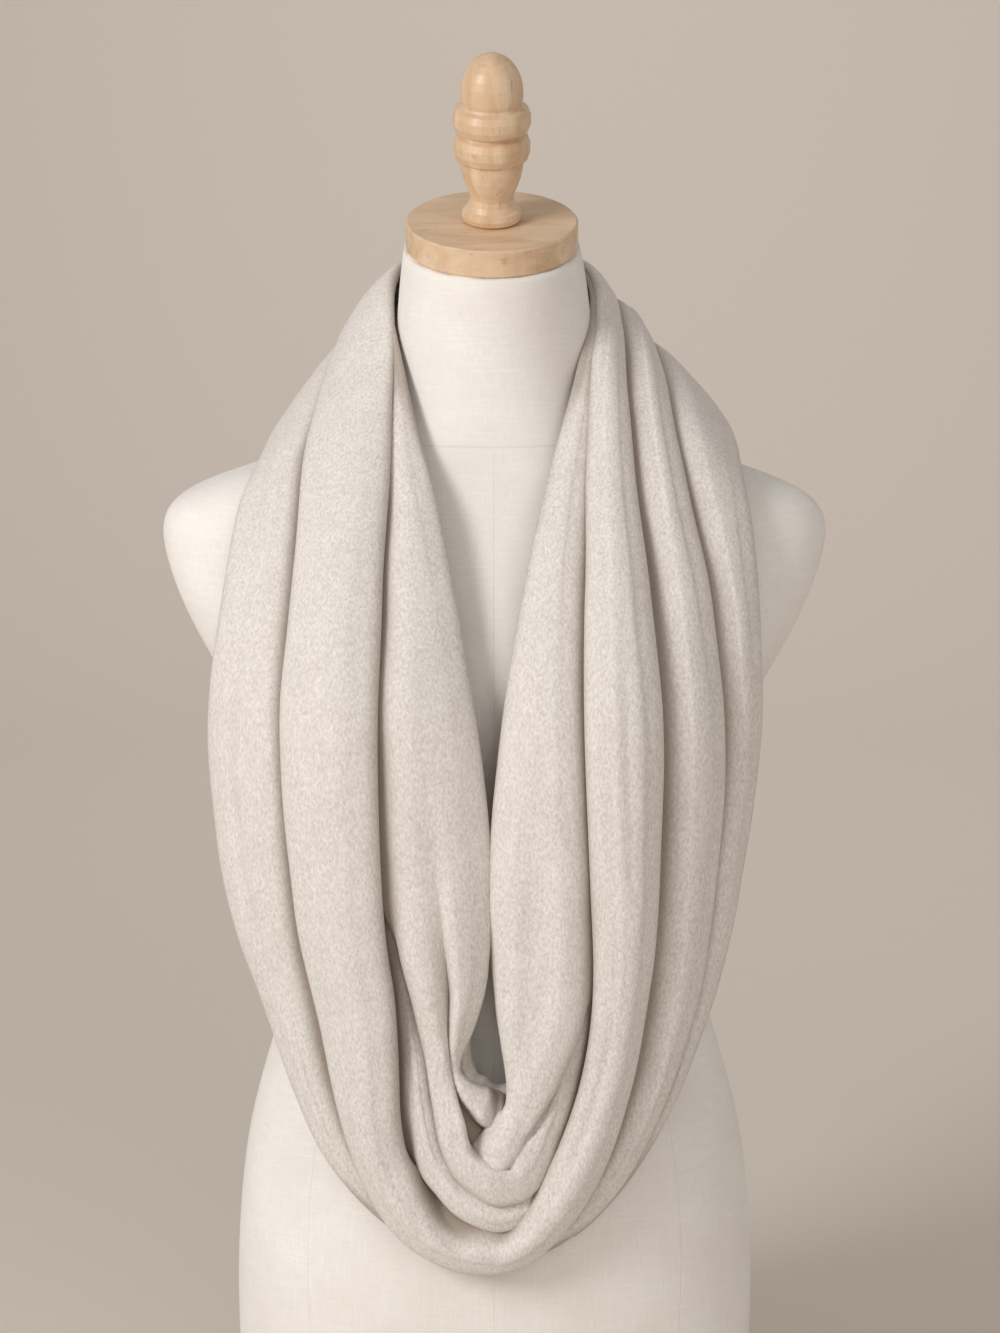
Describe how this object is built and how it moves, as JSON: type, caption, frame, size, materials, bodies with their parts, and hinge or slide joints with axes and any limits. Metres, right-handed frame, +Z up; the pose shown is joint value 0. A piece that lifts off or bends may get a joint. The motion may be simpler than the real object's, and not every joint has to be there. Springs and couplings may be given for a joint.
{
  "type": "infinity scarf on a limbless dress form",
  "caption": "Oatmeal brushed-knit infinity scarf worn in one long loop on a cream linen dress form with a wooden neck disc and finial.",
  "frame": {"origin": "middle of the dress form's flat base, on the surface it stands on", "axes": "+Z up along the form, -Y out of the chest, +X to the viewer's right from the front"},
  "size_m": [0.431, 0.2636, 0.9484],
  "materials": {
    "brushed_knit": "matte, softly brushed",
    "linen": "matte",
    "wood": "satin"
  },
  "bodies": {
    "root": {"form_torso": "linen", "neck_disc": "wood", "finial": "wood", "scarf_nape": "brushed_knit", "scarf_front_roll": "brushed_knit", "scarf_left_outer": "brushed_knit", "scarf_left_swag": "brushed_knit", "scarf_low_swag": "brushed_knit", "scarf_left_inner": "brushed_knit", "scarf_right_inner": "brushed_knit", "scarf_right_middle": "brushed_knit", "scarf_right_outer": "brushed_knit"}
  },
  "joints": []
}
